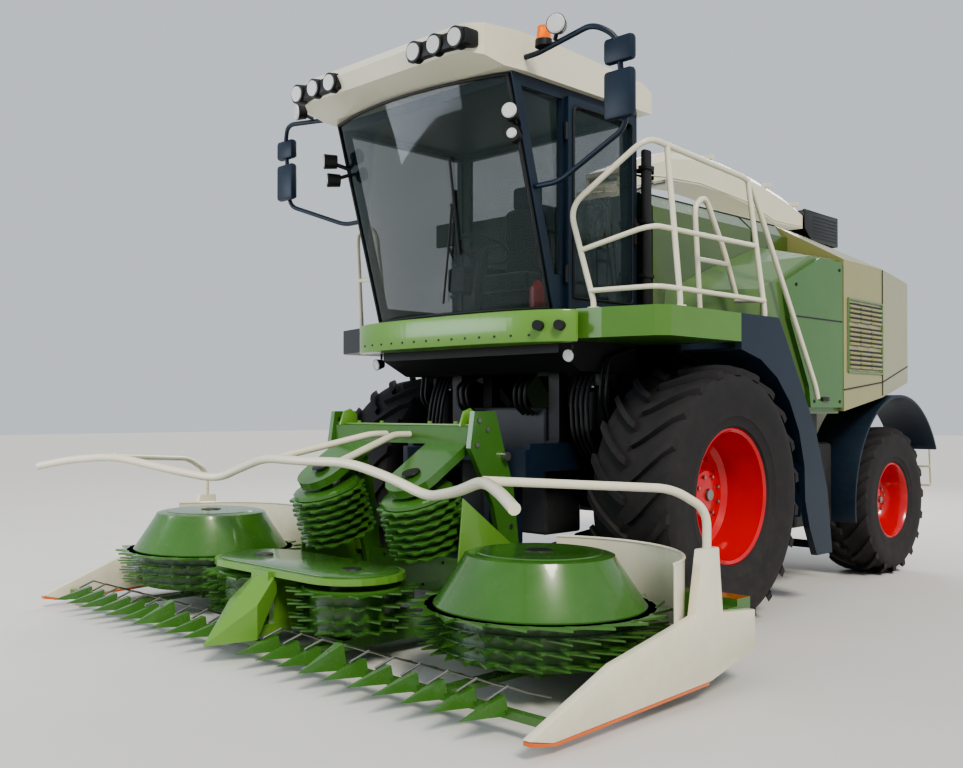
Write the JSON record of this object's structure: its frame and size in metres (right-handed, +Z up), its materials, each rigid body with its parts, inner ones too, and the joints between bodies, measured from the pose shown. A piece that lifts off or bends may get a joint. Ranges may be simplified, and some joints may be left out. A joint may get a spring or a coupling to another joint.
{
  "type": "self-propelled forage harvester",
  "caption": "Self-propelled forage harvester: cab with curved screen, engine body, steered rear axle, swinging crop spout and a rotary maize header on a lifting feeder.",
  "frame": {"origin": "on the ground under the middle of the bounding box", "axes": "-Y forward, +X the machine's left side, +Z up"},
  "size_m": [4.95, 8, 3.99],
  "materials": {
    "green_enamel": "gloss",
    "olive_enamel": "satin",
    "sand_enamel": "satin",
    "cream_enamel": "satin",
    "navy_plastic": "satin",
    "black_steel": "satin",
    "red_enamel": "gloss",
    "tyre_rubber": "matte",
    "bright_steel": "polished",
    "cab_trim": "matte",
    "glazing": "gloss"
  },
  "bodies": {
    "machine": {"front_axle": "black_steel", "rear_axle": "black_steel", "chassis_frame": "black_steel", "engine_block": "black_steel", "chopper_housing": "black_steel", "crop_tower": "black_steel", "cab_floor": "black_steel", "cab_frame": "navy_plastic", "windscreen": "glazing", "cab_roof": "cream_enamel", "driver_seat": "cab_trim", "steering_column": "cab_trim", "deck_left": "green_enamel", "deck_right": "green_enamel", "front_bumper": "green_enamel", "railing_left": "cream_enamel", "railing_right": "cream_enamel", "fender_front_left": "navy_plastic", "fender_front_right": "navy_plastic", "fender_rear_left": "navy_plastic", "fender_rear_right": "navy_plastic", "hood": "olive_enamel", "side_pod_left": "sand_enamel", "side_pod_right": "sand_enamel", "rear_body": "sand_enamel", "mirror_left": "navy_plastic", "mirror_right": "navy_plastic"},
    "wheel_front_left": {"tyre_front_left": "tyre_rubber", "rim_front_left": "red_enamel"},
    "wheel_front_right": {"tyre_front_right": "tyre_rubber", "rim_front_right": "red_enamel"},
    "wheel_rear_left": {"tyre_rear_left": "tyre_rubber", "rim_rear_left": "red_enamel"},
    "wheel_rear_right": {"tyre_rear_right": "tyre_rubber", "rim_rear_right": "red_enamel"},
    "steering_left": {"knuckle_left": "black_steel"},
    "steering_right": {"knuckle_right": "black_steel"},
    "header": {"feeder_housing": "navy_plastic", "header_frame": "green_enamel", "gear_arms": "green_enamel", "middle_cover": "green_enamel", "end_divider_left": "cream_enamel", "end_divider_right": "cream_enamel", "pusher_bar": "cream_enamel"},
    "big_rotor_left": {"rotor_left": "green_enamel"},
    "big_rotor_right": {"rotor_right": "green_enamel"},
    "small_rotor_left": {"inner_rotor_left": "green_enamel"},
    "small_rotor_right": {"inner_rotor_right": "green_enamel"},
    "drum_left": {"feed_drum_left": "green_enamel"},
    "drum_right": {"feed_drum_right": "green_enamel"},
    "ram_barrels": {"ram_barrel_left": "black_steel", "ram_barrel_right": "black_steel"},
    "ram_rods": {"ram_rod_left": "bright_steel", "ram_rod_right": "bright_steel"},
    "spout_turret": {"spout_base": "cream_enamel"},
    "spout": {"spout_arm": "cream_enamel"},
    "spout_end": {"spout_flap": "black_steel"},
    "door": {"cab_door": "navy_plastic"},
    "side_door_left": {"service_door_left": "green_enamel"},
    "side_door_right": {"service_door_right": "green_enamel"}
  },
  "joints": [
    {"name": "wheel_front_left_spin", "type": "hinge", "parent": "machine", "child": "wheel_front_left", "pos_m": [1.355, -0.76, 0.925], "axis": [1, 0, 0], "continuous": true},
    {"name": "wheel_front_right_spin", "type": "hinge", "parent": "machine", "child": "wheel_front_right", "pos_m": [-1.355, -0.76, 0.925], "axis": [1, 0, 0], "continuous": true},
    {"name": "steer_left", "type": "hinge", "parent": "machine", "child": "steering_left", "pos_m": [0.74, 2.577, 0.686], "axis": [0, 0, 1], "range_deg": [-30, 30]},
    {"name": "steer_right", "type": "hinge", "parent": "machine", "child": "steering_right", "pos_m": [-0.74, 2.577, 0.686], "axis": [0, 0, 1], "range_deg": [-30, 30]},
    {"name": "wheel_rear_left_spin", "type": "hinge", "parent": "steering_left", "child": "wheel_rear_left", "pos_m": [1.16, 2.577, 0.686], "axis": [1, 0, 0], "continuous": true},
    {"name": "wheel_rear_right_spin", "type": "hinge", "parent": "steering_right", "child": "wheel_rear_right", "pos_m": [-1.16, 2.577, 0.686], "axis": [1, 0, 0], "continuous": true},
    {"name": "header_lift", "type": "hinge", "parent": "machine", "child": "header", "pos_m": [0, -1.28, 1.19], "axis": [-1, 0, 0], "range_deg": [0, 20]},
    {"name": "rotor_left_spin", "type": "hinge", "parent": "header", "child": "big_rotor_left", "pos_m": [1.668, -2.9, 0.16], "axis": [0, 0, 1], "continuous": true},
    {"name": "rotor_right_spin", "type": "hinge", "parent": "header", "child": "big_rotor_right", "pos_m": [-1.668, -2.9, 0.16], "axis": [0, 0, 1], "continuous": true},
    {"name": "inner_rotor_left_spin", "type": "hinge", "parent": "header", "child": "small_rotor_left", "pos_m": [0.462, -3.241, 0.16], "axis": [0, 0, 1], "continuous": true},
    {"name": "inner_rotor_right_spin", "type": "hinge", "parent": "header", "child": "small_rotor_right", "pos_m": [-0.462, -3.241, 0.16], "axis": [0, 0, 1], "continuous": true},
    {"name": "feed_drum_left_spin", "type": "hinge", "parent": "header", "child": "drum_left", "pos_m": [0.472, -2.71, 1], "axis": [0, -0.342, 0.9397], "continuous": true},
    {"name": "feed_drum_right_spin", "type": "hinge", "parent": "header", "child": "drum_right", "pos_m": [-0.472, -2.71, 1], "axis": [0, -0.342, 0.9397], "continuous": true},
    {"name": "ram_tilt", "type": "hinge", "parent": "machine", "child": "ram_barrels", "pos_m": [0, -0.46, 0.62], "axis": [-1, 0, 0], "range_deg": [0, 8.2]},
    {"name": "ram_stroke", "type": "slide", "parent": "ram_barrels", "child": "ram_rods", "axis": [0, -0.9954, -0.0956], "range_m": [0, 0.207]},
    {"name": "spout_turn", "type": "hinge", "parent": "machine", "child": "spout_turret", "pos_m": [0, -0.01, 3.3], "axis": [0, 0, 1], "range_deg": [-100, 100]},
    {"name": "spout_lift", "type": "hinge", "parent": "spout_turret", "child": "spout", "pos_m": [0, -0.01, 3.5], "axis": [1, 0, 0], "range_deg": [0, 32]},
    {"name": "spout_flap_swing", "type": "hinge", "parent": "spout", "child": "spout_end", "pos_m": [0, 3.22, 3.66], "axis": [-1, 0, 0], "range_deg": [0, 40]},
    {"name": "cab_door_swing", "type": "hinge", "parent": "machine", "child": "door", "pos_m": [0.918, -1.714, 2.225], "axis": [0, 0, -1], "range_deg": [0, 38]},
    {"name": "service_door_left_lift", "type": "hinge", "parent": "machine", "child": "side_door_left", "pos_m": [1.475, 0.26, 2.53], "axis": [0, -0.9268, -0.3755], "range_deg": [0, 60]},
    {"name": "service_door_right_lift", "type": "hinge", "parent": "machine", "child": "side_door_right", "pos_m": [-1.475, 0.26, 2.53], "axis": [0, 0.9268, 0.3755], "range_deg": [0, 60]}
  ],
  "couplings": [
    {"joint": "steer_right", "follows": "steer_left", "ratio": 1},
    {"joint": "rotor_right_spin", "follows": "rotor_left_spin", "ratio": -1},
    {"joint": "inner_rotor_left_spin", "follows": "rotor_left_spin", "ratio": -1.5},
    {"joint": "inner_rotor_right_spin", "follows": "rotor_left_spin", "ratio": 1.5},
    {"joint": "feed_drum_left_spin", "follows": "rotor_left_spin", "ratio": 3},
    {"joint": "feed_drum_right_spin", "follows": "rotor_left_spin", "ratio": -3},
    {"joint": "ram_tilt", "follows": "header_lift", "ratio": 0.40884},
    {"joint": "ram_stroke", "follows": "header_lift", "m_per_rad": 0.58994}
  ]
}
